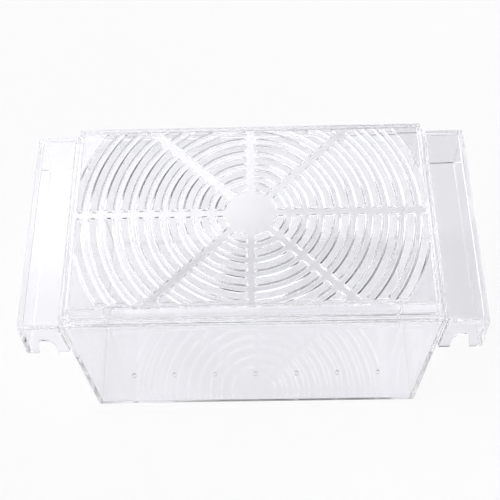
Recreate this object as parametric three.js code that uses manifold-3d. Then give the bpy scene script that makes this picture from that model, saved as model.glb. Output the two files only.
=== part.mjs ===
// Clear moulded holding box with two hollow wings and a lift-off lid whose top is a grille of rings.
// Millimetres, +Z up, +X towards the right wing, the front is -Y.
// The origin is the centre of the tub's underside, where the box stands on a table.

import * as THREE from 'three';
import { mergeVertices } from 'three/addons/utils/BufferGeometryUtils.js';
import Module from 'manifold-3d';

// ---- Driving dimensions -------------------------------------------------------------------

// Tub: an open box whose four walls lean in towards the floor, as a moulding must.
const TUB_RIM_LENGTH = 192.6;
const TUB_RIM_WIDTH = 116.8;
const TUB_HEIGHT = 113.7;
const TUB_DRAFT_INSET = 2.7;
const TUB_WALL = 2.4;
const TUB_FLOOR = 2.4;
const TUB_CORNER_RADIUS = 3.0;

// Floor holes: one row, near the front wall.
const DRAIN_HOLE_DIAMETER = 2.5;
const DRAIN_HOLE_PITCH = 24.5;
const DRAIN_ROW_FROM_FRONT = 16.8;
const DRAIN_ROW_END_MARGIN = 12.0;

// Wings: trays turned upside down, closed above and open below, one on each end of the tub.
const WING_REACH = 20.9;
const WING_FLARE = 1.7;
const WING_HEIGHT = 30.1;
const WING_BELOW_RIM = 1.1;
const WING_PLATE = 2.2;
const WING_WALL = 2.4;
const WING_OUTER_WALL = 2.6;
const WING_CORNER_RADIUS = 1.5;
const WELD_GAP = 0.3;

// Notch in the front wall of each wing, open below.
const NOTCH_FOOT_WIDTH = 9.9;
const NOTCH_HEAD_WIDTH = 7.4;
const NOTCH_HEIGHT = 15.3;
const NOTCH_FROM_TUB = 5.5;
const NOTCH_INNER_RADIUS = 5.9;
const NOTCH_OUTER_RADIUS = 1.4;

// Lid: a flange on the tub's rim, a skirt above it, a lip inside the tub and a flat top.
const LID_INSET_ENDS = 1.3;
const LID_INSET_SIDES = 0.9;
const LID_SEAT_GAP = 0.3;
const LID_FLANGE = 3.2;
const LID_FLANGE_ROUNDING = 0.8;
const LID_CORNER_RADIUS = 4.5;
const LID_LEDGE = 2.2;
const LID_SKIRT_DRAFT = 1.4;
const LID_SKIRT_HEIGHT = 7.8;
const LID_SKIRT_WALL = 1.6;
const LID_EDGE_ROUNDING = 0.7;
const LID_TOP_PLATE = 2.6;
const LIP_DEPTH = 10.1;
const LIP_WALL = 1.6;
const LIP_CLEARANCE = 0.6;

// Fins: four narrow uprights on the lip that guide the lid into the tub.
const FIN_FROM_LIP_END = 20.8;
const FIN_THICKNESS = 1.4;
const FIN_DEPTH = 3.6;
const FIN_REACH = 18.0;
const FIN_RELIEF = 0.5;
const FIN_TAPER = 2.0;

// Ring grille: rings of slots round a blank disc, crossed by spokes, inside a plain border.
const RING_PITCH = 8.18;
const FIRST_SLOT_RADIUS = 15.75;
const SLOT_WIDTH = 4.2;
const SLOT_SHOULDER = 0.9;
const SLOT_CORNER_RADIUS = 0.8;
const SPOKE_COUNT = 8;
const SPOKE_WIDTH = 4.0;
const GRILLE_BORDER_ENDS = 1.8;
const GRILLE_BORDER_SIDES = 3.1;

// Facets: the length of a slot's chords, and the steps in a slot's corner and in a box corner.
const ARC_CHORD = 7.0;
const CORNER_CUT_STEPS = 1;
const CORNER_STEPS = 4;
const HOLE_SIDES = 12;
const LEAST_RADIUS = 0.4;
const OVERCUT = 1.0;
const SHOULDER_OVERCUT = 0.1;

// ---- Sizes that follow --------------------------------------------------------------------

const tubHalfLength = TUB_RIM_LENGTH / 2;
const tubHalfWidth = TUB_RIM_WIDTH / 2;
const wingTop = TUB_HEIGHT - WING_BELOW_RIM;
const wingBottom = wingTop - WING_HEIGHT;
const lidHalfLength = tubHalfLength - LID_INSET_ENDS;
const lidHalfWidth = tubHalfWidth - LID_INSET_SIDES;
const lidBase = TUB_HEIGHT + LID_SEAT_GAP;
const skirtBase = lidBase + LID_FLANGE;
const lidTop = skirtBase + LID_SKIRT_HEIGHT;
const slotHalf = SLOT_WIDTH / 2;
const sectorAngle = (2 * Math.PI) / SPOKE_COUNT;
const windowHalfLength = lidHalfLength - LID_LEDGE - LID_SKIRT_DRAFT - GRILLE_BORDER_ENDS;
const windowHalfWidth = lidHalfWidth - LID_LEDGE - LID_SKIRT_DRAFT - GRILLE_BORDER_SIDES;
const slotRings = 1 + Math.floor((windowHalfLength + slotHalf - FIRST_SLOT_RADIUS) / RING_PITCH);

// ---- Solids -------------------------------------------------------------------------------

const wasm = await Module();
wasm.setup();

// A closed three.js geometry as a solid that can be joined and cut.
function solidOf(geometry) {
  const bare = geometry.clone();
  bare.deleteAttribute('normal');
  bare.deleteAttribute('uv');
  const merged = mergeVertices(bare, 1e-4);
  const vertProperties = new Float32Array(merged.attributes.position.array);
  const triVerts = new Uint32Array(merged.index.array);
  return new wasm.Manifold(new wasm.Mesh({ numProp: 3, vertProperties, triVerts }));
}

// A finished solid as a three.js geometry.
function geometryOf(solid) {
  const mesh = solid.getMesh();
  const geometry = new THREE.BufferGeometry();
  geometry.setAttribute('position', new THREE.BufferAttribute(mesh.vertProperties, 3));
  geometry.setIndex(new THREE.BufferAttribute(mesh.triVerts, 1));
  geometry.computeVertexNormals();
  return geometry;
}

// A closed skin through a stack of outlines, lowest first, each with as many points as the next.
// An outline is {z, points} and runs anticlockwise seen from above.
function loft(outlines) {
  const count = outlines[0].points.length;
  const positions = [];
  const indices = [];
  for (const { z, points } of outlines) {
    for (const point of points) positions.push(point.x, point.y, z);
  }
  for (let level = 0; level + 1 < outlines.length; level += 1) {
    for (let i = 0; i < count; i += 1) {
      const next = (i + 1) % count;
      const a = level * count + i;
      const b = level * count + next;
      indices.push(a, b, b + count, a, b + count, a + count);
    }
  }
  const lastLevel = (outlines.length - 1) * count;
  for (const [i, j, k] of THREE.ShapeUtils.triangulateShape(outlines[0].points, [])) {
    indices.push(k, j, i);
  }
  for (const [i, j, k] of THREE.ShapeUtils.triangulateShape(outlines.at(-1).points, [])) {
    indices.push(lastLevel + i, lastLevel + j, lastLevel + k);
  }
  const geometry = new THREE.BufferGeometry();
  geometry.setAttribute('position', new THREE.Float32BufferAttribute(positions, 3));
  geometry.setIndex(indices);
  return geometry;
}

// A rectangle with round corners, centred on the origin.
function roundedRectangle(halfLength, halfWidth, wantedRadius) {
  const radius = Math.max(wantedRadius, LEAST_RADIUS);
  const points = [];
  for (let corner = 0; corner < 4; corner += 1) {
    const sideX = corner === 0 || corner === 3 ? 1 : -1;
    const sideY = corner < 2 ? 1 : -1;
    for (let step = 0; step <= CORNER_STEPS; step += 1) {
      const angle = (corner + step / CORNER_STEPS) * (Math.PI / 2);
      const x = sideX * (halfLength - radius) + radius * Math.cos(angle);
      const y = sideY * (halfWidth - radius) + radius * Math.sin(angle);
      points.push(new THREE.Vector2(x, y));
    }
  }
  return points;
}

// A block with round corners through the given levels, each [z, half length, half width, radius].
function roundedBlock(levels) {
  const outlines = levels.map(([z, halfLength, halfWidth, radius]) => (
    { z, points: roundedRectangle(halfLength, halfWidth, radius) }
  ));
  return solidOf(loft(outlines));
}

// ---- Tub ----------------------------------------------------------------------------------

// How far the tub's outside stands in from its rim at a height.
function draftAt(z) {
  return TUB_DRAFT_INSET * (1 - z / TUB_HEIGHT);
}

// The tub's outside, grown by a margin all round, from one height to another.
function tubEnvelope(margin, fromZ, toZ) {
  const level = (z) => [
    z, tubHalfLength - draftAt(z) + margin, tubHalfWidth - draftAt(z) + margin, TUB_CORNER_RADIUS + margin,
  ];
  return roundedBlock([level(fromZ), level(toZ)]);
}

// All that lies between the two leaning end walls and the weld gap beyond them, however wide.
function betweenTubEnds(fromZ, toZ) {
  const level = (z) => [z, tubHalfLength - draftAt(z) + WELD_GAP, TUB_RIM_WIDTH, LEAST_RADIUS];
  return roundedBlock([level(fromZ), level(toZ)]);
}

function makeTub() {
  let tub = tubEnvelope(0, 0, TUB_HEIGHT).subtract(tubEnvelope(-TUB_WALL, TUB_FLOOR, TUB_HEIGHT + OVERCUT));
  const hole = new THREE.CylinderGeometry(
    DRAIN_HOLE_DIAMETER / 2, DRAIN_HOLE_DIAMETER / 2, TUB_FLOOR + 2 * OVERCUT, HOLE_SIDES,
  );
  hole.rotateX(Math.PI / 2);
  const rowY = DRAIN_ROW_FROM_FRONT - (tubHalfWidth - draftAt(TUB_FLOOR) - TUB_WALL);
  hole.translate(0, rowY, TUB_FLOOR / 2);
  const rowReach = tubHalfLength - draftAt(TUB_FLOOR) - TUB_WALL - DRAIN_ROW_END_MARGIN;
  const holesEachSide = Math.floor(rowReach / DRAIN_HOLE_PITCH);
  for (let i = -holesEachSide; i <= holesEachSide; i += 1) {
    tub = tub.subtract(solidOf(hole.clone().translate(i * DRAIN_HOLE_PITCH, 0, 0)));
  }
  return tub;
}

// ---- Wings --------------------------------------------------------------------------------

// The notch as seen from the front: a leaning outer side with a small corner above it, and an
// upright inner side with a large round corner.
function notchPrism() {
  const inner = tubHalfLength + NOTCH_FROM_TUB;
  const foot = inner + NOTCH_FOOT_WIDTH;
  const head = inner + NOTCH_HEAD_WIDTH;
  const roof = wingBottom + NOTCH_HEIGHT;
  const shape = new THREE.Shape();
  shape.moveTo(inner, wingBottom - OVERCUT);
  shape.lineTo(foot, wingBottom - OVERCUT);
  shape.lineTo(foot, wingBottom);
  shape.lineTo(head, roof - NOTCH_OUTER_RADIUS);
  shape.absarc(head - NOTCH_OUTER_RADIUS, roof - NOTCH_OUTER_RADIUS, NOTCH_OUTER_RADIUS, 0, Math.PI / 2);
  shape.absarc(inner + NOTCH_INNER_RADIUS, roof - NOTCH_INNER_RADIUS, NOTCH_INNER_RADIUS, Math.PI / 2, Math.PI);
  const depth = WING_WALL + 2 * OVERCUT;
  const prism = new THREE.ExtrudeGeometry(shape, { depth, bevelEnabled: false, curveSegments: 6 });
  prism.rotateX(Math.PI / 2);
  prism.translate(0, -tubHalfWidth + WING_WALL + OVERCUT, 0);
  return solidOf(prism);
}

// The right wing: an upturned tray that stops just short of the tub's leaning end wall.
function makeRightWing() {
  const wingEnd = tubHalfLength + WING_REACH;
  const shell = roundedBlock([
    [wingBottom, wingEnd + WING_FLARE, tubHalfWidth, WING_CORNER_RADIUS],
    [wingTop, wingEnd, tubHalfWidth, WING_CORNER_RADIUS],
  ]);
  const hollowTop = wingTop - WING_PLATE;
  const flareAt = (z) => WING_FLARE * (wingTop - z) / WING_HEIGHT;
  const hollowLevel = (z) => [
    z, wingEnd + flareAt(z) - WING_OUTER_WALL, tubHalfWidth - WING_WALL, WING_CORNER_RADIUS / 2,
  ];
  const hollow = roundedBlock([hollowLevel(wingBottom - OVERCUT), hollowLevel(hollowTop)]);
  const rightSide = new THREE.BoxGeometry(2 * wingEnd, 2 * TUB_RIM_WIDTH, 2 * TUB_HEIGHT);
  rightSide.translate(wingEnd, 0, 0);
  return shell
    .intersect(solidOf(rightSide))
    .subtract(hollow)
    .subtract(notchPrism())
    .subtract(betweenTubEnds(wingBottom - OVERCUT, wingTop + OVERCUT));
}

// ---- Lid ----------------------------------------------------------------------------------

// The outline of one slot between the spokes at two angles, grown by a margin all round. Its ends
// run along the spokes and its four corners are rounded.
function slotOutline(radius, sector, margin) {
  const outerRadius = radius + slotHalf + margin;
  const innerRadius = radius - slotHalf - margin;
  const corner = SLOT_CORNER_RADIUS + margin;
  const offAxis = SPOKE_WIDTH / 2 + SLOT_CORNER_RADIUS;
  const outerRun = outerRadius - corner;
  const innerRun = innerRadius + corner;
  const outerTurn = Math.asin(offAxis / outerRun);
  const innerTurn = Math.asin(offAxis / innerRun);
  const arcSteps = Math.max(2, Math.round((sectorAngle * radius) / ARC_CHORD));
  const points = [];
  const addArc = (centreX, centreY, arcRadius, from, to, steps) => {
    for (let i = 0; i <= steps; i += 1) {
      const angle = from + ((to - from) * i) / steps;
      points.push(new THREE.Vector2(centreX + arcRadius * Math.cos(angle), centreY + arcRadius * Math.sin(angle)));
    }
  };
  const addCorner = (spokeAngle, side, run, turn, from, to) => {
    const direction = spokeAngle + side * turn;
    addArc(run * Math.cos(direction), run * Math.sin(direction), corner, from, to, CORNER_CUT_STEPS);
  };
  const start = sector * sectorAngle;
  const end = start + sectorAngle;
  const quarter = Math.PI / 2;
  addCorner(start, 1, outerRun, outerTurn, start - quarter, start + outerTurn);
  for (let i = 1; i < arcSteps; i += 1) {
    const angle = start + outerTurn + ((sectorAngle - 2 * outerTurn) * i) / arcSteps;
    points.push(new THREE.Vector2(outerRadius * Math.cos(angle), outerRadius * Math.sin(angle)));
  }
  addCorner(end, -1, outerRun, outerTurn, end - outerTurn, end + quarter);
  addCorner(end, -1, innerRun, innerTurn, end + quarter, end - innerTurn + 2 * quarter);
  for (let i = arcSteps - 1; i > 0; i -= 1) {
    const angle = start + innerTurn + ((sectorAngle - 2 * innerTurn) * i) / arcSteps;
    points.push(new THREE.Vector2(innerRadius * Math.cos(angle), innerRadius * Math.sin(angle)));
  }
  addCorner(start, 1, innerRun, innerTurn, start + innerTurn + 2 * quarter, start + 3 * quarter);
  return points;
}

// One slot as a solid: straight through the plate, with sloping shoulders up to a wide mouth.
function slotSolid(radius, sector) {
  const outline = (z, margin) => ({ z, points: slotOutline(radius, sector, margin) });
  return solidOf(loft([
    outline(lidTop - LID_TOP_PLATE - OVERCUT, 0),
    outline(lidTop - SLOT_SHOULDER, 0),
    outline(lidTop + SHOULDER_OVERCUT, SLOT_SHOULDER + SHOULDER_OVERCUT),
  ]));
}

// Every slot of the grille, cut off square where it meets the plain border.
function makeSlots() {
  let slots = null;
  for (let ring = 0; ring < slotRings; ring += 1) {
    for (let sector = 0; sector < SPOKE_COUNT; sector += 1) {
      const slot = slotSolid(FIRST_SLOT_RADIUS + ring * RING_PITCH, sector);
      slots = slots ? slots.add(slot) : slot;
    }
  }
  const below = lidTop - LID_TOP_PLATE - 2 * OVERCUT;
  const above = lidTop + 2 * OVERCUT;
  const window = new THREE.BoxGeometry(2 * windowHalfLength, 2 * windowHalfWidth, above - below);
  window.translate(0, 0, (above + below) / 2);
  return slots.intersect(solidOf(window));
}

function makeLid() {
  const lipHalfLength = tubHalfLength - TUB_WALL - LIP_CLEARANCE;
  const lipHalfWidth = tubHalfWidth - TUB_WALL - LIP_CLEARANCE;
  const lipRadius = Math.max(TUB_CORNER_RADIUS - TUB_WALL, 0) + LIP_CLEARANCE;
  const lipBottom = TUB_HEIGHT - LIP_DEPTH;
  const skirtLevel = (z, inset, radius) => [z, lidHalfLength - inset, lidHalfWidth - inset, radius];
  const skirtRadius = LID_CORNER_RADIUS - LID_LEDGE;
  const topInset = LID_LEDGE + LID_SKIRT_DRAFT;
  const outside = roundedBlock([
    [lipBottom, lipHalfLength, lipHalfWidth, lipRadius],
    [lidBase, lipHalfLength, lipHalfWidth, lipRadius],
    skirtLevel(lidBase, 0, LID_CORNER_RADIUS),
    skirtLevel(skirtBase - LID_FLANGE_ROUNDING, 0, LID_CORNER_RADIUS),
    skirtLevel(skirtBase, LID_FLANGE_ROUNDING, LID_CORNER_RADIUS - LID_FLANGE_ROUNDING),
    skirtLevel(skirtBase, LID_LEDGE, skirtRadius),
    skirtLevel(lidTop - LID_EDGE_ROUNDING, topInset, skirtRadius),
    skirtLevel(lidTop, topInset + LID_EDGE_ROUNDING, skirtRadius - LID_EDGE_ROUNDING),
  ]);
  const innerInset = LID_LEDGE + LID_SKIRT_WALL;
  const inside = roundedBlock([
    [lipBottom - OVERCUT, lipHalfLength - LIP_WALL, lipHalfWidth - LIP_WALL, lipRadius],
    [lidBase, lipHalfLength - LIP_WALL, lipHalfWidth - LIP_WALL, lipRadius],
    skirtLevel(skirtBase, innerInset, lipRadius),
    skirtLevel(lidTop - LID_TOP_PLATE, innerInset + LID_SKIRT_DRAFT, lipRadius),
  ]);
  return makeFins(lipHalfLength, lipHalfWidth)
    .reduce((lid, fin) => lid.add(fin), outside.subtract(inside))
    .subtract(makeSlots());
}

// The four fins, from the top plate down past the lip, each with its foot drawn in.
function makeFins(lipHalfLength, lipHalfWidth) {
  const outerY = lipHalfWidth - FIN_RELIEF;
  const innerY = outerY - FIN_DEPTH;
  const top = lidTop - LID_TOP_PLATE / 2;
  const foot = TUB_HEIGHT - FIN_REACH;
  const drawnIn = LID_SKIRT_DRAFT + LID_LEDGE;
  const finX = lipHalfLength - FIN_FROM_LIP_END;
  const profile = new THREE.Shape();
  profile.moveTo(outerY - FIN_TAPER, foot);
  profile.lineTo(outerY, foot + FIN_TAPER);
  profile.lineTo(outerY, skirtBase);
  profile.lineTo(outerY - drawnIn + FIN_RELIEF, top);
  profile.lineTo(innerY, top);
  profile.lineTo(innerY, foot);
  const fins = [];
  for (const sideY of [-1, 1]) {
    for (const x of [-finX, finX]) {
      const fin = new THREE.ExtrudeGeometry(profile, { depth: FIN_THICKNESS, bevelEnabled: false });
      fin.translate(0, 0, -FIN_THICKNESS / 2);
      // The profile's first axis points outwards and its second one upwards.
      fin.applyMatrix4(new THREE.Matrix4().makeBasis(
        new THREE.Vector3(0, sideY, 0), new THREE.Vector3(0, 0, 1), new THREE.Vector3(sideY, 0, 0),
      ));
      fins.push(solidOf(fin.translate(x, 0, 0)));
    }
  }
  return fins;
}

// ---- Scene graph --------------------------------------------------------------------------

// The same shape on the other side of the middle plane x = 0.
function mirrored(geometry) {
  const twin = geometry.clone().scale(-1, 1, 1);
  const index = twin.index.array;
  for (let i = 0; i < index.length; i += 3) {
    [index[i + 1], index[i + 2]] = [index[i + 2], index[i + 1]];
  }
  twin.computeVertexNormals();
  return twin;
}

function addPiece(group, name, geometry, tint) {
  const material = new THREE.MeshStandardMaterial({
    color: tint, roughness: 0.06, metalness: 0, transparent: true, opacity: 0.35,
  });
  const mesh = new THREE.Mesh(geometry, material);
  mesh.name = name;
  group.add(mesh);
}

const holdingBox = new THREE.Group();
const rightWing = geometryOf(makeRightWing());
addPiece(holdingBox, 'tub', geometryOf(makeTub()), 0xe6e8ec);
addPiece(holdingBox, 'right_wing', rightWing, 0xdfe1e6);
addPiece(holdingBox, 'left_wing', mirrored(rightWing), 0xe9ebef);
addPiece(holdingBox, 'lid', geometryOf(makeLid()), 0xeceef2);

export default holdingBox;
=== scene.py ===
# %% [markdown]
# # A clear moulded box with a slotted lid
#
# The object is a deep box of clear plastic. A hollow wing on each end lets it hang over a rim, and
# a lift-off lid closes it with a grille of rings. Nothing on it is painted or textured: all that
# the eye has to go by is how each edge bends the light. So this lesson spends its effort on two
# things, rounded edges that are really there in the mesh, and a studio that has both light and
# dark in it for those edges to pick up.

# %% Load the frame
import math

import bpy
from mathutils import Matrix, Vector


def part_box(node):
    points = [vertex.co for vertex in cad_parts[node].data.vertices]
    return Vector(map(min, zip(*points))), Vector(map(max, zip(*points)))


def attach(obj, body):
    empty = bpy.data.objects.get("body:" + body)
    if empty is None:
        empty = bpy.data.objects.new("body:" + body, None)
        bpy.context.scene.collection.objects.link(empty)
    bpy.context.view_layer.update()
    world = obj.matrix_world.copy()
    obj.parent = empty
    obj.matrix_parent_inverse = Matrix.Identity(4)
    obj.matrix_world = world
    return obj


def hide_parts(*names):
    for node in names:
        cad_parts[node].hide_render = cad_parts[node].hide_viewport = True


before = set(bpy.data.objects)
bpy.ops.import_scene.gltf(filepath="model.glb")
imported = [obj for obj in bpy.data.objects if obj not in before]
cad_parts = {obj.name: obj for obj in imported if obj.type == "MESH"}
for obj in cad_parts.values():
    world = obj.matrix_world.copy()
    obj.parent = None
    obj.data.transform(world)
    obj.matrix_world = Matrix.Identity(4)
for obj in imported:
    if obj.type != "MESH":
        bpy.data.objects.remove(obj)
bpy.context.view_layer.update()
scene = bpy.context.scene
MM = 0.001

# %% [markdown]
# ## Camera
#
# The photograph looks down on the box from the front, nearer to its top than to its side. The
# camera's place and turn come from matching the corners of the lid, the wings and the tub. Its
# shift is small: it only puts the middle of the view where the photograph has it.

# %% Place the camera
CAMERA_PLACE = Vector((6.8, -260.2, 541.4)) * MM
CAMERA_YAW = math.radians(-2.627)
CAMERA_DOWN = math.radians(60.472)
CAMERA_ROLL = math.radians(-3.322)
SENSOR_WIDTH = 36.0
FOCAL_LENGTH = 68.99
SHIFT_RIGHT = 0.0139
SHIFT_UP = 0.0070
NEAREST = 10 * MM


def make_camera():
    data = bpy.data.cameras.new("camera")
    data.sensor_width = SENSOR_WIDTH
    data.lens = FOCAL_LENGTH
    data.shift_x = SHIFT_RIGHT
    data.shift_y = SHIFT_UP
    data.clip_start = NEAREST
    flat, fall = math.cos(CAMERA_DOWN), math.sin(CAMERA_DOWN)
    forward = Vector((math.sin(CAMERA_YAW) * flat, math.cos(CAMERA_YAW) * flat, -fall))
    level = Vector((math.cos(CAMERA_YAW), -math.sin(CAMERA_YAW), 0.0))
    upright = level.cross(forward)
    right = math.cos(CAMERA_ROLL) * level + math.sin(CAMERA_ROLL) * upright
    up = math.cos(CAMERA_ROLL) * upright - math.sin(CAMERA_ROLL) * level
    turned = Matrix((right, up, -forward)).transposed().to_4x4()
    camera = bpy.data.objects.new("camera", data)
    camera.matrix_world = Matrix.Translation(CAMERA_PLACE) @ turned
    scene.collection.objects.link(camera)
    return camera


scene.camera = make_camera()
print("camera stands", round(CAMERA_PLACE.length / MM), "mm from the middle of the underside")

# %% [markdown]
# ## The plastic
#
# Boxes of this kind are injection-moulded in clear polystyrene. It is glass-clear, a touch cool in
# tone, and bends light more than window glass does: its index of refraction is 1.59. The mould
# is polished, so the surface is almost a mirror, but where the melt cooled it draws a little: a
# very shallow, wide waviness that makes reflections swim. A faint haze in the roughness stands for
# handling marks. Both follow Object coordinates, so they stay on the part as it moves.

# %% Material helpers
def srgb(hex_code):
    """A colour written as sRGB hex, as the linear RGBA that a shader wants."""
    channels = [int(hex_code[i:i + 2], 16) / 255 for i in (1, 3, 5)]
    return tuple(c / 12.92 if c <= 0.04045 else ((c + 0.055) / 1.055) ** 2.4 for c in channels) + (1.0,)


def add_node(tree, kind, settings=None, inputs=None):
    """One new node. An input, by name or number, takes a value, an output or a list of outputs."""
    node = tree.nodes.new(kind)
    for name, value in (settings or {}).items():
        setattr(node, name, value)
    for key, value in (inputs or {}).items():
        for source in value if isinstance(value, list) else [value]:
            if isinstance(source, bpy.types.NodeSocket):
                tree.links.new(source, node.inputs[key])
            else:
                node.inputs[key].default_value = source
    return node


# %% Clear polystyrene
POLYSTYRENE_IOR = 1.59
WATER_CLEAR = "#fefeff"
DRAW_MARK_SIZE = 40 * MM
DRAW_MARK_DEPTH = 0.05 * MM
HAZE_SIZE = 14 * MM
HAZE_FROM, HAZE_TO = 0.4, 0.7
POLISHED, HANDLED = 0.015, 0.040


def make_clear_polystyrene():
    # The eye sees a polished, colourless plastic whose reflections swim a little.
    material = bpy.data.materials.new("clear_polystyrene")
    material.use_nodes = True
    tree = material.node_tree
    tree.nodes.clear()
    place = add_node(tree, "ShaderNodeTexCoord").outputs["Object"]
    draw = add_node(
        tree, "ShaderNodeTexNoise",
        inputs={"Vector": place, "Scale": 1 / DRAW_MARK_SIZE, "Detail": 1.0})
    wave = add_node(
        tree, "ShaderNodeBump",
        inputs={"Height": draw.outputs["Fac"], "Strength": 1.0, "Distance": DRAW_MARK_DEPTH})
    haze = add_node(
        tree, "ShaderNodeTexNoise",
        inputs={"Vector": place, "Scale": 1 / HAZE_SIZE, "Detail": 4.0})
    polish = add_node(
        tree, "ShaderNodeMapRange",
        inputs={"Value": haze.outputs["Fac"], "From Min": HAZE_FROM, "From Max": HAZE_TO,
                "To Min": POLISHED, "To Max": HANDLED})
    plastic = add_node(
        tree, "ShaderNodeBsdfPrincipled",
        inputs={"Base Color": srgb(WATER_CLEAR), "IOR": POLYSTYRENE_IOR, "Transmission Weight": 1.0,
                "Roughness": polish.outputs["Result"], "Normal": wave.outputs["Normal"]})
    add_node(tree, "ShaderNodeOutputMaterial", inputs={"Surface": plastic.outputs["BSDF"]})
    return material


clear_polystyrene = make_clear_polystyrene()
print("made", clear_polystyrene.name, "with an index of refraction of", POLYSTYRENE_IOR)

# %% [markdown]
# ## Moulded skins
#
# The tub, the lid and the blanks of the wings are the same kind of shape: a rounded rectangle that
# grows or shrinks with height. A section says how, as points of inset and height in millimetres,
# and one skin follows it round the outside, over the edge and back along the inside, so that a
# hollow piece is closed from the start. Corners of the section become true arcs: on clear plastic
# an edge without a radius has no width, and then it neither glints nor darkens.

# %% A section with round corners
FILLET_STEPS = 5


def rounded_section(points):
    """A section of points (inset, height, radius) with an arc in place of each corner."""
    section = []
    for i, (inset, height, radius) in enumerate(points):
        here = Vector((inset, height))
        if not radius:
            section.append(here)
            continue
        before = (Vector(points[i - 1][:2]) - here).normalized()
        after = (Vector(points[i + 1][:2]) - here).normalized()
        half = before.angle(after) / 2
        middle = here + (before + after).normalized() * (radius / math.sin(half))
        start = here + before * (radius / math.tan(half)) - middle
        end = here + after * (radius / math.tan(half)) - middle
        first = math.atan2(start.y, start.x)
        sweep = (math.atan2(end.y, end.x) - first + math.pi) % (2 * math.pi) - math.pi
        for step in range(FILLET_STEPS + 1):
            angle = first + sweep * step / FILLET_STEPS
            section.append(middle + radius * Vector((math.cos(angle), math.sin(angle))))
    return section


# %% A skin round a rectangle
CORNER_STEPS = 8
LEAST_RADIUS = 0.4


def rounded_rectangle(half_x, half_y, radius):
    """The outline of a rectangle with round corners, anticlockwise seen from above."""
    radius = max(radius, LEAST_RADIUS)
    outline = []
    for corner in range(4):
        side_x = 1 if corner in (0, 3) else -1
        side_y = 1 if corner < 2 else -1
        for step in range(CORNER_STEPS + 1):
            angle = (corner + step / CORNER_STEPS) * math.pi / 2
            x = side_x * (half_x - radius) + radius * math.cos(angle)
            y = side_y * (half_y - radius) + radius * math.sin(angle)
            outline.append((x, y))
    return outline


def skin_through(name, rings):
    """An object with a closed skin through rings of points in millimetres, capped at both ends."""
    count = len(rings[0])
    last = (len(rings) - 1) * count
    faces = [tuple(reversed(range(count))), tuple(range(last, last + count))]
    for level in range(0, last, count):
        for i in range(count):
            after = (i + 1) % count
            faces.append((level + i, level + after, level + after + count, level + i + count))
    mesh = bpy.data.meshes.new(name)
    mesh.from_pydata([Vector(point) * MM for ring in rings for point in ring], [], faces)
    mesh.validate()
    thing = bpy.data.objects.new(name, mesh)
    scene.collection.objects.link(thing)
    return thing


def moulded_skin(name, half_x, half_y, radius, section):
    """The skin that a section sweeps round a rounded rectangle."""
    rings = []
    for inset, height in section:
        outline = rounded_rectangle(half_x - inset, half_y - inset, radius - inset)
        rings.append([(x, y, height) for x, y in outline])
    return skin_through(name, rings)


# %% Working on a moulding
EDGE_BREAK = 0.25
EDGE_BREAK_STEPS = 2
CREASE = math.radians(35)


def freeze(thing):
    """Work the object's modifiers into its mesh."""
    mesh = bpy.data.meshes.new_from_object(thing.evaluated_get(bpy.context.evaluated_depsgraph_get()))
    thing.modifiers.clear()
    thing.data = mesh


def cut(blank, tool):
    """Cut a tool from a blank. The tool is used up."""
    step = blank.modifiers.new("cut", "BOOLEAN")
    step.operation = "DIFFERENCE"
    step.object = tool
    step.solver = "MANIFOLD"
    freeze(blank)
    bpy.data.objects.remove(tool)


def break_edges(thing, least_turn):
    """A small bevel on each edge that turns by more than least_turn, in degrees."""
    edges = thing.modifiers.new("broken_edges", "BEVEL")
    edges.width = EDGE_BREAK * MM
    edges.segments = EDGE_BREAK_STEPS
    edges.limit_method = "ANGLE"
    edges.angle_limit = math.radians(least_turn)
    freeze(thing)


def finish_moulding(piece, body, node):
    """Smooth shading with flat faces kept flat, the plastic, and the piece's place in the frame."""
    piece.data.materials.clear()
    piece.data.materials.append(clear_polystyrene)
    piece.data.shade_smooth()
    piece.data.set_sharp_from_angle(angle=CREASE)
    flats = piece.modifiers.new("flat_faces", "WEIGHTED_NORMAL")
    flats.keep_sharp = True
    freeze(piece)
    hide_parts(node)
    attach(piece, body)
    sizes = [round(size / MM, 1) for size in piece.dimensions]
    print(piece.name, "has", len(piece.data.polygons), "faces and measures", sizes, "mm")


# %% [markdown]
# ## The tub
#
# The tub is one deep moulding. Its walls lean in by a few millimetres towards the floor, so that
# it could leave the mould, and its floor has a row of small holes near the front. The section runs
# out along the underside, up the outside, over the rim, down the inside and in along the floor.

# %% Tub skin
TUB_WALL = 2.4
TUB_FLOOR = 2.4
TUB_DRAFT = 2.7
TUB_CORNER = 3.0
TUB_FOOT_ROUND = 1.0
TUB_RIM_ROUND = 0.2
TUB_FLOOR_ROUND = 0.8
# How far in from the rim the section starts and ends. The flat inside that is a single face.
TUB_MIDDLE = 30.0

tub_high = Vector(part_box("tub")[1]) / MM


def draft_at(height):
    """How far the tub's outside stands in from its rim, in millimetres."""
    return TUB_DRAFT * (1 - height / tub_high.z)


tub = moulded_skin("tub_moulding", tub_high.x, tub_high.y, TUB_CORNER, rounded_section([
    (TUB_MIDDLE, 0.0, 0),
    (draft_at(0), 0.0, TUB_FOOT_ROUND),
    (0.0, tub_high.z, TUB_RIM_ROUND),
    (TUB_WALL, tub_high.z, TUB_RIM_ROUND),
    (draft_at(TUB_FLOOR) + TUB_WALL, TUB_FLOOR, TUB_FLOOR_ROUND),
    (TUB_MIDDLE, TUB_FLOOR, 0),
]))
print("the tub's section has walls of", TUB_WALL, "mm that lean in by", TUB_DRAFT, "mm")

# %% [markdown]
# ## Holes, and how a tree of nodes is written
#
# The holes are a pattern, so Geometry Nodes make them: a line of points, a pin on each, and one
# boolean. The number of holes and their pitch stay inputs of the tree. The grille and the fins of
# the lid are made in the same way, so the helpers come first.
#
# Arithmetic in a tree is written here as a rule, with one line for each Math node: the name of the
# result, the operation, and the names or numbers that go into it. A tree ends by turning its copies
# into real geometry and giving the piece its plastic, and the result is kept as a plain mesh.

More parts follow.
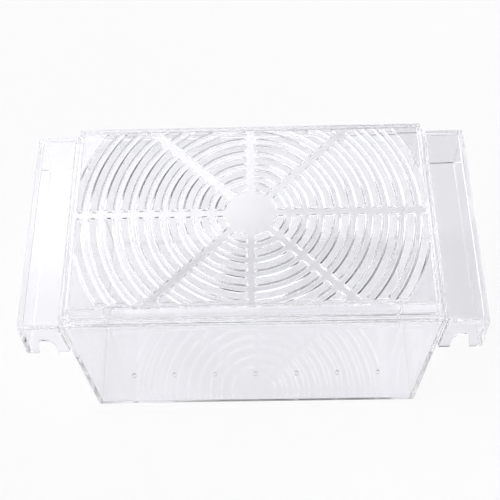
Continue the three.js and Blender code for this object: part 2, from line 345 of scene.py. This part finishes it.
# %% Geometry Nodes helpers
def new_tree(name, sizes):
    """A Geometry Nodes tree, and its inputs by name: the geometry, and one for each size."""
    tree = bpy.data.node_groups.new(name, "GeometryNodeTree")
    tree.interface.new_socket("Geometry", in_out="INPUT", socket_type="NodeSocketGeometry")
    tree.interface.new_socket("Geometry", in_out="OUTPUT", socket_type="NodeSocketGeometry")
    for size, value in sizes.items():
        kind = {int: "Int", float: "Float", bpy.types.Object: "Object"}[type(value)]
        tree.interface.new_socket(size, in_out="INPUT", socket_type="NodeSocket" + kind)
    return tree, {socket.name: socket for socket in add_node(tree, "NodeGroupInput").outputs}


def follow(tree, rule, known):
    """Lay down one Math node for each line of a rule. Later lines use earlier results by name."""
    known = dict(known)
    for result, operation, *operands in rule:
        inputs = {i: known.get(operand, operand) for i, operand in enumerate(operands)}
        known[result] = add_node(tree, "ShaderNodeMath", {"operation": operation}, inputs).outputs[0]
    return known


def row_of_points(tree, count, start, pitch, y=0.0):
    """Points in a row along the length of the box."""
    first = add_node(tree, "ShaderNodeCombineXYZ", inputs={"X": start, "Y": y})
    stride = add_node(tree, "ShaderNodeCombineXYZ", inputs={"X": pitch})
    row = add_node(
        tree, "GeometryNodeMeshLine",
        inputs={"Count": count, "Start Location": first.outputs[0], "Offset": stride.outputs[0]})
    return row.outputs[0]


def solid_copies(tree, points, original, rotation=(0.0, 0.0, 0.0)):
    """A copy of the original on each point, as real geometry."""
    copies = add_node(
        tree, "GeometryNodeInstanceOnPoints",
        inputs={"Points": points, "Instance": original, "Rotation": rotation})
    return add_node(tree, "GeometryNodeRealizeInstances", inputs={0: copies.outputs[0]}).outputs[0]


def end_tree(tree, geometry):
    """The plastic, and the way out of the tree."""
    plastic = add_node(
        tree, "GeometryNodeSetMaterial", inputs={"Geometry": geometry, "Material": clear_polystyrene})
    add_node(tree, "NodeGroupOutput", inputs={"Geometry": plastic.outputs[0]})
    return tree


def run_tree(thing, tree, sizes):
    """Run a tree on an object with its sizes set, and keep the result as a plain mesh."""
    step = thing.modifiers.new(tree.name, "NODES")
    step.node_group = tree
    for item in tree.interface.items_tree:
        if item.in_out == "INPUT" and item.name in sizes:
            step[item.identifier] = sizes[item.name]
    freeze(thing)
    print(tree.name, "has", len(tree.nodes), "nodes")


# %% Holes in the floor
HOLE_FROM_FRONT = 16.8
PIN_SIDES = 32
hole_sizes = {
    "Diameter": 2.5 * MM,
    "Pitch": 24.5 * MM,
    "Count": 7,
    "Row Y": (HOLE_FROM_FRONT + draft_at(TUB_FLOOR) + TUB_WALL - tub_high.y) * MM,
    "Pin Length": 4 * TUB_FLOOR * MM,
}
HOLE_RULE = [
    ("span", "SUBTRACT", "Count", 1.0),
    ("span", "MULTIPLY", "span", "Pitch"),
    ("start", "MULTIPLY", "span", -0.5),
    ("radius", "MULTIPLY", "Diameter", 0.5),
]


def hole_tree(sizes):
    tree, size = new_tree("row_of_holes", sizes)
    size = follow(tree, HOLE_RULE, size)
    row = row_of_points(tree, size["Count"], size["start"], size["Pitch"], size["Row Y"])
    pin = add_node(
        tree, "GeometryNodeMeshCylinder",
        inputs={"Vertices": PIN_SIDES, "Radius": size["radius"], "Depth": size["Pin Length"]})
    drilled = add_node(
        tree, "GeometryNodeMeshBoolean", {"operation": "DIFFERENCE", "solver": "MANIFOLD"},
        {0: size["Geometry"], 1: solid_copies(tree, row, pin.outputs[0])})
    return end_tree(tree, drilled.outputs[0])


run_tree(tub, hole_tree(hole_sizes), hole_sizes)
finish_moulding(tub, "tub", "tub")

# %% [markdown]
# ## The wings
#
# Each wing is a shallow tray turned upside down: closed above, open below, with its outer wall
# leaning out. It is made as the mould maker would: a block with rounded edges, a hollow taken from
# it, and a notch in its front wall. The side towards the tub is cut along the tub's own leaning
# wall. A last small bevel breaks the edges that the cuts left. The left wing is the right wing's
# mirror image, with its faces turned round again so that they still point outwards.

# %% Sizes of the wings
WING_FLARE = 1.7
WING_PLATE = 2.2
WING_WALL = 2.4
WING_OUTER_WALL = 2.6
WING_CORNER = 1.5
WING_FILLET = 0.6
WELD_GAP = 0.3
NOTCH_FOOT_WIDTH = 9.9
NOTCH_HEAD_WIDTH = 7.4
NOTCH_HEIGHT = 15.3
NOTCH_FROM_TUB = 5.5
NOTCH_INNER_RADIUS = 5.9
NOTCH_OUTER_RADIUS = 1.4

wing_low, wing_high = (Vector(corner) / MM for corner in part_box("right_wing"))
wing_top, wing_bottom = wing_high.z, wing_low.z
wing_end = wing_high.x - WING_FLARE
print("the wings reach", round(wing_high.x - tub_high.x, 1), "mm beyond the rim")

# %% Block and hollow of a wing
WING_MIDDLE = 10.0
# Towards the top the radius of a corner shrinks with the fillet, and by no more than this.
MOST_CORNER_LOSS = 1.0


def flare_at(height):
    """How far the outer wall has leaned out at a height."""
    return WING_FLARE * (wing_top - height) / (wing_top - wing_bottom)


def wing_block(name, top, bottom, end_wall, side_wall, radius):
    """A rounded block that leans out with the outer wall, with a fillet round its top."""
    section = rounded_section([(WING_MIDDLE, top, 0), (0.0, top, WING_FILLET), (0.0, bottom, 0)])
    rings = []
    for inset, height in reversed(section):
        half_x = wing_end + flare_at(height) - end_wall - inset
        half_y = wing_high.y - side_wall - inset
        outline = rounded_rectangle(half_x, half_y, radius - min(inset, MOST_CORNER_LOSS))
        rings.append([(x, y, height) for x, y in outline])
    return skin_through(name, rings)


# %% Tools that cut a wing
OVERCUT = 2.0
NOTCH_ARC_STEPS = 10
REACH_PAST_TUB = 50.0


def arc(middle_x, middle_z, radius, start, end):
    """Points on an arc, with its angles in degrees."""
    turns = [start + (end - start) * i / NOTCH_ARC_STEPS for i in range(NOTCH_ARC_STEPS + 1)]
    angles = [math.radians(turn) for turn in turns]
    return [(middle_x + radius * math.cos(a), middle_z + radius * math.sin(a)) for a in angles]


def notch_tool():
    """The notch: an upright inner side under a wide arc, and a leaning outer side."""
    inner = tub_high.x + NOTCH_FROM_TUB
    foot, head = inner + NOTCH_FOOT_WIDTH, inner + NOTCH_HEAD_WIDTH
    roof = wing_bottom + NOTCH_HEIGHT
    outline = [(inner, wing_bottom - OVERCUT), (foot, wing_bottom - OVERCUT), (foot, wing_bottom)]
    outline += arc(head - NOTCH_OUTER_RADIUS, roof - NOTCH_OUTER_RADIUS, NOTCH_OUTER_RADIUS, 0, 90)
    outline += arc(inner + NOTCH_INNER_RADIUS, roof - NOTCH_INNER_RADIUS, NOTCH_INNER_RADIUS, 90, 180)
    front, back = -wing_high.y - OVERCUT, -wing_high.y + WING_WALL + OVERCUT
    return skin_through("notch", [[(x, y, z) for x, z in outline] for y in (back, front)])


def tub_side_tool():
    """All that lies on the tub's side of the join."""
    wide = wing_high.y + OVERCUT
    rings = []
    for height in (wing_bottom - OVERCUT, wing_top + OVERCUT):
        join = tub_high.x - draft_at(height) + WELD_GAP
        far = -join - REACH_PAST_TUB
        corners = [(join, -wide), (join, wide), (far, wide), (far, -wide)]
        rings.append([(x, y, height) for x, y in corners])
    return skin_through("tub_side", rings)


# %% Right wing
WING_LEAST_TURN = 40

right_wing = wing_block("right_wing_moulding", wing_top, wing_bottom, 0.0, 0.0, WING_CORNER)
hollow = wing_block(
    "hollow", wing_top - WING_PLATE, wing_bottom - OVERCUT, WING_OUTER_WALL, WING_WALL, WING_CORNER / 2)
for tool in (hollow, tub_side_tool(), notch_tool()):
    cut(right_wing, tool)
break_edges(right_wing, WING_LEAST_TURN)
print("the right wing has", len(right_wing.data.polygons), "faces")

# %% Left wing
left_wing = bpy.data.objects.new("left_wing_moulding", right_wing.data.copy())
scene.collection.objects.link(left_wing)
left_wing.data.transform(Matrix.Diagonal((-1, 1, 1, 1)))
left_wing.data.flip_normals()
finish_moulding(right_wing, "tub", "right_wing")
finish_moulding(left_wing, "tub", "left_wing")

# %% [markdown]
# ## The lid
#
# The lid is one moulding too. A flange lies on the tub's rim, a lip goes down inside the tub, a
# skirt rises from the flange and a flat plate closes the top. The section starts in the middle of
# the plate's underside, goes down inside, round the foot of the lip and up outside, and ends in the
# middle of the top.

# %% Lid blank
LID_FLANGE = 3.2
LID_LEDGE = 2.2
LID_CORNER = 4.5
SKIRT_DRAFT = 1.4
SKIRT_WALL = 1.6
TOP_PLATE = 2.6
LIP_DEPTH = 10.1
LIP_WALL = 1.6
LIP_CLEARANCE = 0.6
FLANGE_ROUND = 0.3
LEDGE_ROUND = 0.2
LID_TOP_ROUND = 0.4
PLATE_UNDER_ROUND = 0.5
LID_MIDDLE = 30.0
LID_SEAT_GAP = 0.3
# Just under half the wall of the lip, so that its foot is round all the way across.
LIP_FOOT_ROUND = 0.79

lid_high = Vector(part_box("lid")[1]) / MM
lid_top = lid_high.z
lid_base = tub_high.z + LID_SEAT_GAP
skirt_base = lid_base + LID_FLANGE
lip_bottom = tub_high.z - LIP_DEPTH
top_underside = lid_top - TOP_PLATE
lip_x = tub_high.x - TUB_WALL - LIP_CLEARANCE
lip_y = tub_high.y - TUB_WALL - LIP_CLEARANCE
lip_inset = lid_high.x - lip_x
lip_side_step = (lid_high.y - lip_y) - lip_inset

lid_section = rounded_section([
    (LID_MIDDLE, top_underside, 0),
    (LID_LEDGE + SKIRT_WALL + SKIRT_DRAFT, top_underside, PLATE_UNDER_ROUND),
    (LID_LEDGE + SKIRT_WALL, skirt_base, 0),
    (lip_inset + LIP_WALL, lid_base, 0),
    (lip_inset + LIP_WALL, lip_bottom, LIP_FOOT_ROUND),
    (lip_inset, lip_bottom, LIP_FOOT_ROUND),
    (lip_inset, lid_base, FLANGE_ROUND),
    (0.0, lid_base, FLANGE_ROUND),
    (0.0, skirt_base, FLANGE_ROUND),
    (LID_LEDGE, skirt_base, LEDGE_ROUND),
    (LID_LEDGE + SKIRT_DRAFT, lid_top, LID_TOP_ROUND),
    (LID_MIDDLE, lid_top, 0),
])


def lid_ring(inset, height):
    """One level of the lid. Along the sides the lip stands a little further in than at the ends."""
    on_lip = inset >= lip_inset / 2 and height <= lid_base
    half_y = lid_high.y - inset - (lip_side_step if on_lip else 0.0)
    outline = rounded_rectangle(lid_high.x - inset, half_y, LID_CORNER - inset)
    return [(x, y, height) for x, y in outline]


lid = skin_through("lid_moulding", [lid_ring(inset, height) for inset, height in lid_section])
print("the lid's section has", len(lid_section), "points and goes down to", round(lip_bottom, 1), "mm")

# %% [markdown]
# ## The ring grille
#
# The top plate is opened by rings of slots that eight spokes cross. Every slot follows one rule,
# with only its ring and its sector changed, so the grille is a tree of nodes and not a drawing.
#
# The template below is one slot of unit size. Its x says how far a point is along the slot, from
# one spoke at -1 to the next at 1. Its y says whether it is on the outer side or the inner one, and
# its z is the level: 0 at the underside of the plate, where the slot is widest, and 1 where its
# curved flank has turned upright. Above that a small round takes off the top edge. Two attributes
# hold the sine and cosine of the small corner that the point belongs to.

# %% Levels of a slot
FLANK_STEPS = 8
FLANK_HEIGHT = 2.4
EDGE_STEPS = 4
EDGE_ROUND = 0.4
LEVEL_BELOW, LEVEL_ABOVE = -1.5, 2.0
# A round stops just short of its full quarter, so that no level lies in one of the plate's faces.
ROUND_END = math.radians(88)


def slot_levels():
    """Levels from under the plate, up the flank and over the rounded edge, to above the plate."""
    flank = [1 - math.sin(ROUND_END * step / FLANK_STEPS) for step in range(1, FLANK_STEPS + 1)]
    rise = [math.sin(ROUND_END * step / EDGE_STEPS) for step in range(EDGE_STEPS + 1)]
    edge = [(TOP_PLATE - EDGE_ROUND * (1 - share)) / FLANK_HEIGHT for share in rise]
    return [LEVEL_BELOW] + sorted(flank + edge) + [LEVEL_ABOVE]


print("a slot has", len(slot_levels()), "levels")

# %% One slot of unit size
ARC_STEPS = 16
SLOT_CORNER_STEPS = 4


def make_slot_template():
    corner = [math.radians(90 * step / SLOT_CORNER_STEPS) for step in range(SLOT_CORNER_STEPS + 1)]
    straight = [(-1 + 2 * step / ARC_STEPS, math.pi / 2) for step in range(1, ARC_STEPS)]
    side = [(-1, angle) for angle in corner] + straight + [(1, angle) for angle in reversed(corner)]
    outline = [(along, 1, angle) for along, angle in side]
    outline += [(along, -1, angle) for along, angle in reversed(side)]
    # This outline runs from one spoke to the next on the outer side, which is clockwise in x and y
    # but anticlockwise once the tree has bent it round the middle of the lid. The unit size is one
    # metre, so the skin's millimetres are undone here.
    levels = slot_levels()
    rings = [[(x / MM, y / MM, level / MM) for x, y, _ in outline] for level in levels]
    slot = skin_through("slot", rings)
    for name, function in (("sine", math.sin), ("cosine", math.cos)):
        values = [function(angle) for _ in levels for _, _, angle in outline]
        slot.data.attributes.new(name, "FLOAT", "POINT").data.foreach_set("value", values)
    return slot


slot_template = make_slot_template()
print("one slot has", len(slot_template.data.vertices), "points")

# %% The window that ends the slots at the border
BORDER_ENDS = 1.8
BORDER_SIDES = 3.1
BORDER_FLANK_ENDS = 0.1
BORDER_FLANK_SIDES = 1.3
SLOT_CORNER = 0.8

window_x = lid_high.x - LID_LEDGE - SKIRT_DRAFT - BORDER_ENDS
window_y = lid_high.y - LID_LEDGE - SKIRT_DRAFT - BORDER_SIDES


def rounding(share):
    """How far a quarter circle has come in at a share of its height."""
    share = min(max(share, 0.0), math.sin(ROUND_END))
    return 1 - math.sqrt(1 - share * share)


def make_window():
    """A block with the outline of the plain border. Its sides have the curves that the slots have."""
    rings = []
    for level in slot_levels():
        flank = rounding(1 - level)
        edge = EDGE_ROUND * rounding(1 + (level * FLANK_HEIGHT - TOP_PLATE) / EDGE_ROUND)
        half_x = window_x + flank * BORDER_FLANK_ENDS + edge
        half_y = window_y + flank * BORDER_FLANK_SIDES + edge
        outline = rounded_rectangle(half_x, half_y, SLOT_CORNER)
        rings.append([(x, y, top_underside + level * FLANK_HEIGHT) for x, y in outline])
    return skin_through("window", rings)


window = make_window()
print("the slots end in a window of", round(2 * window_x, 1), "by", round(2 * window_y, 1), "mm")

# %% [markdown]
# ## The rule of the slots
#
# The tree puts a copy of the unit slot on each of ring times sector points and bends it with the
# rule below. At each level the flank says how far the slot has opened downwards and the edge how
# far it has opened upwards, and both add to the slot's half width. At a spoke the slot turns its
# small corner and stops beside the spoke's straight side, so every spoke is as wide outside as
# inside. What is left between the slots are bars, flat on top, that narrow downwards in a curve, as
# they must to leave the mould. The curve under the flat top is what draws the grey and white lines
# along the rings.

# %% The rule for one point of a slot
SPOKE_FLANK_SHARE = 0.35


def rounding_rule(name):
    """The rule's lines for what rounding() does to the value of that name."""
    return [
        (name, "MAXIMUM", name, 0.0),
        (name, "MINIMUM", name, math.sin(ROUND_END)),
        (name, "MULTIPLY", name, name),
        (name, "SUBTRACT", 1.0, name),
        (name, "SQRT", name),
        (name, "SUBTRACT", 1.0, name),
    ]


SLOT_RULE = [
    ("z", "MULTIPLY_ADD", "level", "Flank Height", "Underside"),
    ("flank", "SUBTRACT", 1.0, "level"),
    *rounding_rule("flank"),
    ("flank", "MULTIPLY", "flank", "Flank"),
    ("edge", "SUBTRACT", "z", "Top"),
    ("edge", "DIVIDE", "edge", "Edge Round"),
    ("edge", "ADD", "edge", 1.0),
    *rounding_rule("edge"),
    ("edge", "MULTIPLY", "edge", "Edge Round"),
    ("corner", "MULTIPLY_ADD", "flank", SPOKE_FLANK_SHARE, "Corner Radius"),
    ("corner", "ADD", "corner", "edge"),
    ("half width", "MULTIPLY_ADD", "Slot Width", 0.5, "flank"),
    ("half width", "ADD", "half width", "edge"),
    ("drawn in", "SUBTRACT", 1.0, "sine"),
    ("drawn in", "MULTIPLY", "drawn in", "corner"),
    ("across", "SUBTRACT", "half width", "drawn in"),
    ("radius", "MULTIPLY_ADD", "across", "side", "ring"),
    ("beside spoke", "MULTIPLY_ADD", "Spoke Width", 0.5, "Corner Radius"),
    ("reach", "MULTIPLY", "corner", "cosine"),
    ("beside spoke", "SUBTRACT", "beside spoke", "reach"),
    ("spoke turn", "DIVIDE", "beside spoke", "radius"),
    ("spoke turn", "ARCSINE", "spoke turn"),
    ("half sector", "DIVIDE", math.pi, "Spokes"),
    ("turn", "SUBTRACT", "half sector", "spoke turn"),
    ("turn", "MULTIPLY_ADD", "turn", "along", "sector"),
    ("x", "COSINE", "turn"),
    ("x", "MULTIPLY", "x", "radius"),
    ("y", "SINE", "turn"),
    ("y", "MULTIPLY", "y", "radius"),
]
print("each point of a slot is placed by", len(SLOT_RULE), "lines")

# %% The rule for the places of the slots
PLACE_RULE = [
    ("ring number", "DIVIDE", "index", "Spokes"),
    ("ring number", "FLOOR", "ring number"),
    ("ring", "MULTIPLY_ADD", "ring number", "Ring Pitch", "First Radius"),
    ("sector number", "MODULO", "index", "Spokes"),
    ("sector number", "ADD", "sector number", 0.5),
    ("sector", "MULTIPLY", "sector number", 2 * math.pi),
    ("sector", "DIVIDE", "sector", "Spokes"),
    ("count", "MULTIPLY", "Rings", "Spokes"),
]
print("each slot is placed by", len(PLACE_RULE), "lines")

# %% The grille tree
def slot_places(tree, size):
    """A point for each slot, which knows the radius of its ring and the angle of its sector."""
    index = add_node(tree, "GeometryNodeInputIndex").outputs[0]
    known = follow(tree, PLACE_RULE, {**size, "index": index})
    places = add_node(tree, "GeometryNodePoints", inputs={"Count": known["count"]}).outputs[0]
    for name in ("ring", "sector"):
        store = add_node(
            tree, "GeometryNodeStoreNamedAttribute", {"data_type": "FLOAT", "domain": "POINT"},
            {"Geometry": places, "Name": name, "Value": known[name]})
        places = store.outputs[0]
    return places


def bent_slots(tree, size, slots):
    """The copies of the unit slot, with each of their points put where the rule says."""
    known = dict(size)
    for name in ("ring", "sector", "sine", "cosine"):
        known[name] = add_node(
            tree, "GeometryNodeInputNamedAttribute", {"data_type": "FLOAT"}, {"Name": name}).outputs[0]
    position = add_node(tree, "GeometryNodeInputPosition")
    unit = add_node(tree, "ShaderNodeSeparateXYZ", inputs={0: position.outputs[0]})
    known.update(zip(("along", "side", "level"), unit.outputs))
    known = follow(tree, SLOT_RULE, known)
    bent = add_node(tree, "ShaderNodeCombineXYZ", inputs={axis.upper(): known[axis] for axis in "xyz"})
    moved = add_node(
        tree, "GeometryNodeSetPosition", inputs={"Geometry": slots, "Position": bent.outputs[0]})
    return moved.outputs[0]


def grille_tree(sizes):
    tree, size = new_tree("ring_grille", sizes)
    template = add_node(tree, "GeometryNodeObjectInfo", inputs={"Object": size["Slot"]})
    copies = solid_copies(tree, slot_places(tree, size), template.outputs["Geometry"])
    border = add_node(tree, "GeometryNodeObjectInfo", inputs={"Object": size["Window"]})
    openings = add_node(
        tree, "GeometryNodeMeshBoolean", {"operation": "INTERSECT", "solver": "MANIFOLD"},
        {1: [bent_slots(tree, size, copies), border.outputs["Geometry"]]})
    plate = add_node(
        tree, "GeometryNodeMeshBoolean", {"operation": "DIFFERENCE", "solver": "MANIFOLD"},
        {0: size["Geometry"], 1: openings.outputs[0]})
    return end_tree(tree, plate.outputs[0])


# %% Open the grille
SLOT_WIDTH = 3.6
SPOKE_WIDTH = 4.4
FIRST_RADIUS = 15.75
RING_PITCH = 8.18
FLANK = 1.9

rings_to_window = (window_x + SLOT_WIDTH / 2 - FIRST_RADIUS) / RING_PITCH
grille_sizes = {
    "Slot": slot_template,
    "Window": window,
    "Rings": 1 + math.floor(rings_to_window),
    "Spokes": 8,
    "First Radius": FIRST_RADIUS * MM,
    "Ring Pitch": RING_PITCH * MM,
    "Slot Width": SLOT_WIDTH * MM,
    "Spoke Width": SPOKE_WIDTH * MM,
    "Corner Radius": SLOT_CORNER * MM,
    "Flank": FLANK * MM,
    "Flank Height": FLANK_HEIGHT * MM,
    "Underside": top_underside * MM,
    "Edge Round": EDGE_ROUND * MM,
    "Top": lid_top * MM,
}
run_tree(lid, grille_tree(grille_sizes), grille_sizes)
for helper in (slot_template, window):
    bpy.data.objects.remove(helper)
print("the grille has", grille_sizes["Rings"], "rings of slots and", grille_sizes["Spokes"], "spokes")

# %% [markdown]
# ## The fins
#
# Four thin fins inside the lid run down past its lip, two at the front and two at the back, where
# they would guide the lid into the tub. One fin is drawn as a flat profile and given its thickness
# and soft edges. A tree sets two of them in a row, and turns the same two half round for the back.

# %% One fin
FIN_FROM_LIP_END = 20.8
FIN_THICKNESS = 1.4
FIN_DEPTH = 3.6
FIN_REACH = 18.0
FIN_RELIEF = 0.5
FIN_TAPER = 2.0
FIN_LEAST_TURN = 30


def make_fin():
    """The fin of the front side, in the middle of the lid's length. The tree puts it in place."""
    front = -lip_y + FIN_RELIEF
    foot = tub_high.z - FIN_REACH
    head = lid_top - TOP_PLATE / 2
    profile = [
        (front + FIN_DEPTH, foot),
        (front + FIN_DEPTH, head),
        (front + LID_LEDGE + SKIRT_DRAFT - FIN_RELIEF, head),
        (front, skirt_base),
        (front, foot + FIN_TAPER),
        (front + FIN_TAPER, foot),
    ]
    half = FIN_THICKNESS / 2
    fin = skin_through("fin", [[(x, y, z) for y, z in profile] for x in (-half, half)])
    break_edges(fin, FIN_LEAST_TURN)
    return fin


fin = make_fin()
print("a fin is", FIN_THICKNESS, "mm thick and ends", FIN_REACH, "mm below the rim")

# %% Four fins
fin_sizes = {"Fin": fin, "Fin X": (lip_x - FIN_FROM_LIP_END) * MM}
FIN_RULE = [("start", "MULTIPLY", "Fin X", -1.0), ("stride", "MULTIPLY", "Fin X", 2.0)]


def fin_tree(sizes):
    tree, size = new_tree("four_fins", sizes)
    size = follow(tree, FIN_RULE, size)
    pair = row_of_points(tree, 2, size["start"], size["stride"])
    template = add_node(tree, "GeometryNodeObjectInfo", inputs={"Object": size["Fin"]})
    original = template.outputs["Geometry"]
    fins = [solid_copies(tree, pair, original, (0.0, 0.0, turn)) for turn in (0.0, math.pi)]
    joined = add_node(
        tree, "GeometryNodeMeshBoolean", {"operation": "UNION", "solver": "MANIFOLD"},
        {1: [size["Geometry"], *fins]})
    return end_tree(tree, joined.outputs[0])


run_tree(lid, fin_tree(fin_sizes), fin_sizes)
bpy.data.objects.remove(fin)
finish_moulding(lid, "lid", "lid")

# %% [markdown]
# ## The paper
#
# Clear plastic has no colour of its own, so it shows the room. The photograph was taken on white
# paper under soft lights, and everything around is the look of the object: the paper under the
# tub is shaded by the plastic, and that soft shade is seen again through the walls.
#
# So the floor is real paper, which takes light and shadow. Paper this well lit is overexposed in
# a photograph, so to the camera it is nearly plain white, and only a trace of the shadow stays.
# Rays that the plastic bent or mirrored are shown a share of the same white, so that the paper
# looks alike beside the box and through it.

# %% Paper floor
FLOOR_HALF = 3.0
FLOOR_DROP = 0.5 * MM
PAPER = "#f5f5f8"
PLAIN_WHITE = "#ffffff"
WHITE_TO_CAMERA = 0.85
WHITE_TO_PLASTIC = 0.3


def share_of_white(tree, to_camera, to_plastic):
    """How much plain white a ray is shown, if it comes from the camera or from the plastic."""
    path = add_node(tree, "ShaderNodeLightPath")
    from_plastic = add_node(
        tree, "ShaderNodeMath", {"operation": "ADD", "use_clamp": True},
        {0: path.outputs["Is Glossy Ray"], 1: path.outputs["Is Transmission Ray"]})
    share = add_node(
        tree, "ShaderNodeMath", {"operation": "MULTIPLY"}, {0: from_plastic.outputs[0], 1: to_plastic})
    return add_node(
        tree, "ShaderNodeMath", {"operation": "MULTIPLY_ADD"},
        {0: path.outputs["Is Camera Ray"], 1: to_camera, 2: share.outputs[0]}).outputs[0]


def make_white_paper():
    # Uncoated paper: matt all over, so the eye sees its light and shade and no gloss.
    material = bpy.data.materials.new("white_paper")
    material.use_nodes = True
    tree = material.node_tree
    tree.nodes.clear()
    paper = add_node(tree, "ShaderNodeBsdfDiffuse", inputs={"Color": srgb(PAPER)})
    white = add_node(tree, "ShaderNodeEmission", inputs={"Color": srgb(PLAIN_WHITE), "Strength": 1.0})
    share = share_of_white(tree, WHITE_TO_CAMERA, WHITE_TO_PLASTIC)
    mix = add_node(
        tree, "ShaderNodeMixShader", inputs={0: share, 1: paper.outputs[0], 2: white.outputs[0]})
    add_node(tree, "ShaderNodeOutputMaterial", inputs={"Surface": mix.outputs[0]})
    return material


def make_floor():
    mesh = bpy.data.meshes.new("floor")
    corners = [(-1, -1), (1, -1), (1, 1), (-1, 1)]
    places = [(x * FLOOR_HALF, y * FLOOR_HALF, -FLOOR_DROP) for x, y in corners]
    mesh.from_pydata(places, [], [(0, 1, 2, 3)])
    mesh.materials.append(make_white_paper())
    floor = bpy.data.objects.new("floor", mesh)
    scene.collection.objects.link(floor)


make_floor()
print("the paper is", 2 * FLOOR_HALF, "m wide and lies", FLOOR_DROP / MM, "mm under the tub")

# %% [markdown]
# ## The room
#
# The room is a world of soft patches over a grey. The main lights stand to the left, where the room
# has no grey of its own, and the grey rises to its full level on the right. Straight above the box
# it is dark, where the camera stands. A strip behind the box lies on the flat top of the lid as a
# pale mirror image. Low down all round stands a white wall that only the camera and the plastic
# see, and it throws no light.

# %% Soft patches
# Each patch of the room: azimuth and elevation of its middle, half its width and its soft edge in
# degrees, and what it adds to the room. Azimuth 0 is to the right of the box, 90 behind it and 180
# to its left. A patch that takes light away is a dark one.
SOFT_LIGHTS = {
    "key": (197, 41, 22, 14, 3.0),
    "key_above": (150, 65, 16, 7.5, 3.0),
    "fill_behind": (46, 25, 16, 8, 2.55),
    "fill_in_front": (296, 19, 20, 12, 2.1),
    "strip_behind": (101, 47.5, 8.7, 5.7, 1.98),
    "round_the_camera": (205, 76, 31, 7, -2.0),
    "black_card": (359, 25, 19, 13, -0.37),
}


def direction_to(azimuth, elevation):
    turn, rise = math.radians(azimuth), math.radians(elevation)
    return (math.cos(turn) * math.cos(rise), math.sin(turn) * math.cos(rise), math.sin(rise))


def soft_patch(tree, outward, azimuth, elevation, half_width, edge, strength):
    """What one patch adds in each direction: all of it inside, none of it past the soft edge."""
    towards = add_node(
        tree, "ShaderNodeVectorMath", {"operation": "DOT_PRODUCT"},
        {0: outward, 1: direction_to(azimuth, elevation)})
    patch = add_node(
        tree, "ShaderNodeMapRange", {"interpolation_type": "SMOOTHSTEP"},
        {"Value": towards.outputs["Value"], "From Min": math.cos(math.radians(half_width + edge)),
         "From Max": math.cos(math.radians(half_width)), "To Min": 0.0, "To Max": strength})
    return patch.outputs[0]


print("the room has", len(SOFT_LIGHTS), "soft patches")

# %% The room
GREY_LEFT, GREY_RIGHT = 0.0, 0.30
GREY_SPREAD = 0.8
HORIZON_LEVEL = 0.39
HORIZON_ENDS = 0.35
WALL_WHITE_TO = 0.12
WALL_ENDS = 0.25
ROOM_TINT = "#fefdff"


def room_level(tree, outward, axis):
    """How bright the room is in each direction."""
    grey = add_node(
        tree, "ShaderNodeMapRange",
        inputs={"Value": axis["X"], "From Min": -GREY_SPREAD, "From Max": GREY_SPREAD,
                "To Min": GREY_LEFT, "To Max": GREY_RIGHT})
    height = add_node(
        tree, "ShaderNodeMapRange",
        inputs={"Value": axis["Z"], "From Min": 0.0, "From Max": HORIZON_ENDS,
                "To Min": HORIZON_LEVEL, "To Max": 1.0})
    level = add_node(
        tree, "ShaderNodeMath", {"operation": "MULTIPLY"}, {0: grey.outputs[0], 1: height.outputs[0]})
    for place_and_strength in SOFT_LIGHTS.values():
        patch = soft_patch(tree, outward, *place_and_strength)
        level = add_node(tree, "ShaderNodeMath", {"operation": "ADD"}, {0: level.outputs[0], 1: patch})
    lit = add_node(tree, "ShaderNodeMath", {"operation": "MAXIMUM"}, {0: level.outputs[0], 1: 0.0})
    return lit.outputs[0]


def make_room():
    world = bpy.data.worlds.new("studio")
    scene.world = world
    world.use_nodes = True
    tree = world.node_tree
    tree.nodes.clear()
    outward = add_node(tree, "ShaderNodeTexCoord").outputs["Generated"]
    axis = add_node(tree, "ShaderNodeSeparateXYZ", inputs={0: outward}).outputs
    room = add_node(
        tree, "ShaderNodeBackground",
        inputs={"Color": srgb(ROOM_TINT), "Strength": room_level(tree, outward, axis)})
    backdrop = add_node(
        tree, "ShaderNodeBackground", inputs={"Color": srgb(PLAIN_WHITE), "Strength": 1.0})
    low_wall = add_node(
        tree, "ShaderNodeMapRange", {"interpolation_type": "SMOOTHSTEP"},
        {"Value": axis["Z"], "From Min": WALL_WHITE_TO, "From Max": WALL_ENDS,
         "To Min": 1.0, "To Max": 0.0})
    share = share_of_white(tree, 1.0, low_wall.outputs[0])
    mix = add_node(
        tree, "ShaderNodeMixShader", inputs={0: share, 1: room.outputs[0], 2: backdrop.outputs[0]})
    add_node(tree, "ShaderNodeOutputWorld", inputs={"Surface": mix.outputs[0]})
    print("the room has", len(tree.nodes), "nodes")


make_room()

# %% [markdown]
# ## Light paths
#
# Clear walls guide light as a glass fibre does. A ray that enters at the foot of the tub is mirrored
# between the two faces of the floor, every few millimetres, until it comes out at the back. If its
# path were cut short, every edge of the box would be drawn as a black line where the photograph has
# a pale one, so paths may be far longer than is usual. Glossy filtering is off: it blurs the light
# that reaches the paper through the tub, and then the floor goes grey.

# %% Long light paths
GUIDED_BOUNCES = 96

scene.view_settings.view_transform = "Standard"
scene.cycles.max_bounces = GUIDED_BOUNCES
scene.cycles.transmission_bounces = GUIDED_BOUNCES
scene.cycles.glossy_bounces = GUIDED_BOUNCES
scene.cycles.blur_glossy = 0.0
print("a light path may turn", GUIDED_BOUNCES, "times")
